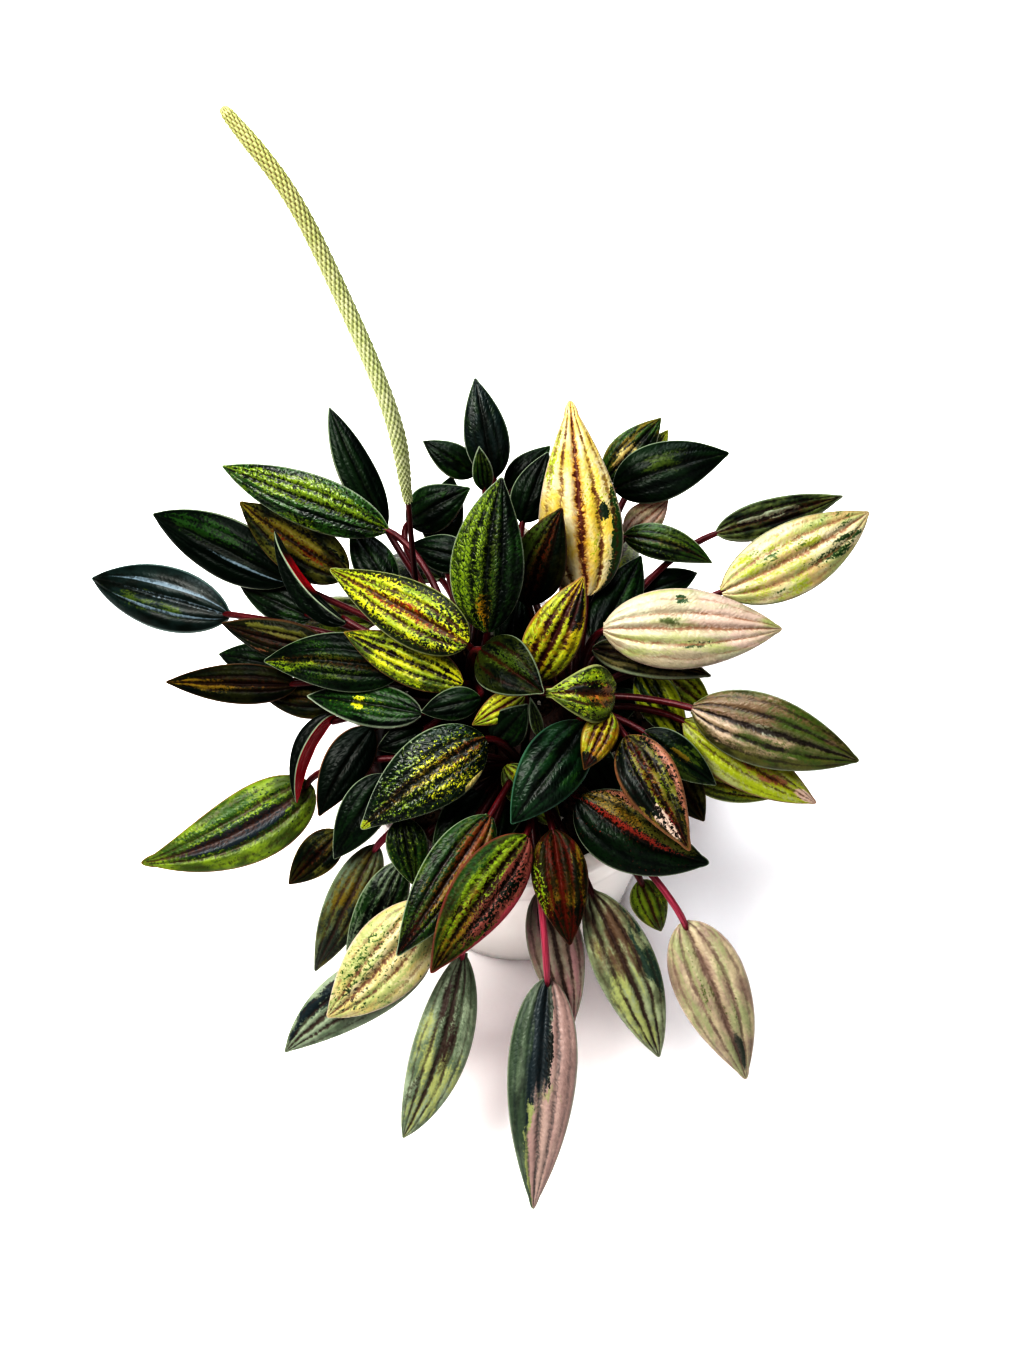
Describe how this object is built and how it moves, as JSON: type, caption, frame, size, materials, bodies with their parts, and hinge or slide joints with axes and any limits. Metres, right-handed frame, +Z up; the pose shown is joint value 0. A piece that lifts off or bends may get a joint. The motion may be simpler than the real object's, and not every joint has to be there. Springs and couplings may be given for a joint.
{
  "type": "potted variegated rosso peperomia",
  "caption": "Potted peperomia with ribbed variegated lance-shaped leaves on red stalks, a tall pale flower spike and a plain round pot; stands on its base.",
  "frame": {"origin": "centre of the pot's underside, on the surface it stands on", "axes": "+Z up along the pot's axis, -Y towards the viewer of the picture, +X to that viewer's right"},
  "size_m": [0.2412, 0.2339, 0.2733],
  "materials": {
    "leaf_dark": "waxy leaf with sunken veins",
    "leaf_green": "waxy leaf with sunken veins",
    "leaf_lime": "waxy leaf with sunken veins",
    "leaf_yellow": "waxy leaf with sunken veins",
    "leaf_cream": "waxy leaf with sunken veins",
    "leaf_pink": "waxy leaf with sunken veins",
    "leaf_olive": "waxy leaf with sunken veins",
    "leaf_grey": "waxy leaf with sunken veins",
    "stalks": "smooth waxy red stem",
    "flower_spike": "fine matte florets",
    "pot": "smooth white glaze",
    "soil": "damp dark crumb"
  },
  "bodies": {
    "root": {"pot": "pot", "soil": "soil", "stems": "stalks", "leaf_left_1": "leaf_green", "leaf_left_2": "leaf_dark", "leaf_left_3": "leaf_olive", "leaf_left_4": "leaf_dark", "leaf_left_5": "leaf_dark", "leaf_left_7": "leaf_dark", "leaf_left_8": "leaf_olive", "leaf_left_9": "leaf_green", "leaf_left_10": "leaf_olive", "leaf_left_14": "leaf_dark", "leaf_crown_1": "leaf_yellow", "leaf_crown_2": "leaf_lime", "leaf_crown_3": "leaf_green", "leaf_crown_4": "leaf_olive", "leaf_crown_5": "leaf_cream", "leaf_crown_6": "leaf_yellow", "leaf_crown_7": "leaf_dark", "leaf_crown_8": "leaf_lime", "leaf_crown_12": "leaf_green", "leaf_crown_14": "leaf_dark", "leaf_crown_15": "leaf_yellow", "leaf_back_1": "leaf_dark", "leaf_back_2": "leaf_dark", "leaf_back_7": "leaf_dark", "leaf_back_8": "leaf_green", "leaf_right_1": "leaf_dark", "leaf_right_3": "leaf_green", "leaf_right_4": "leaf_olive", "leaf_right_5": "leaf_cream", "leaf_right_6": "leaf_cream", "leaf_right_8": "leaf_olive", "leaf_right_10": "leaf_green", "leaf_right_11": "leaf_pink", "leaf_right_12": "leaf_lime", "leaf_right_14": "leaf_dark", "leaf_right_16": "leaf_pink", "leaf_right_17": "leaf_dark", "leaf_front_1": "leaf_lime", "leaf_front_2": "leaf_dark", "leaf_front_3": "leaf_dark", "leaf_front_4": "leaf_dark", "leaf_front_6": "leaf_grey", "leaf_front_7": "leaf_green", "leaf_front_8": "leaf_grey", "leaf_front_9": "leaf_cream", "leaf_front_10": "leaf_green", "leaf_front_11": "leaf_olive", "leaf_front_12": "leaf_grey", "leaf_front_13": "leaf_grey", "leaf_front_14": "leaf_grey", "leaf_front_15": "leaf_olive", "leaf_front_16": "leaf_green", "leaf_front_17": "leaf_cream", "leaf_front_19": "leaf_green", "flower_spike": "flower_spike"}
  },
  "joints": []
}
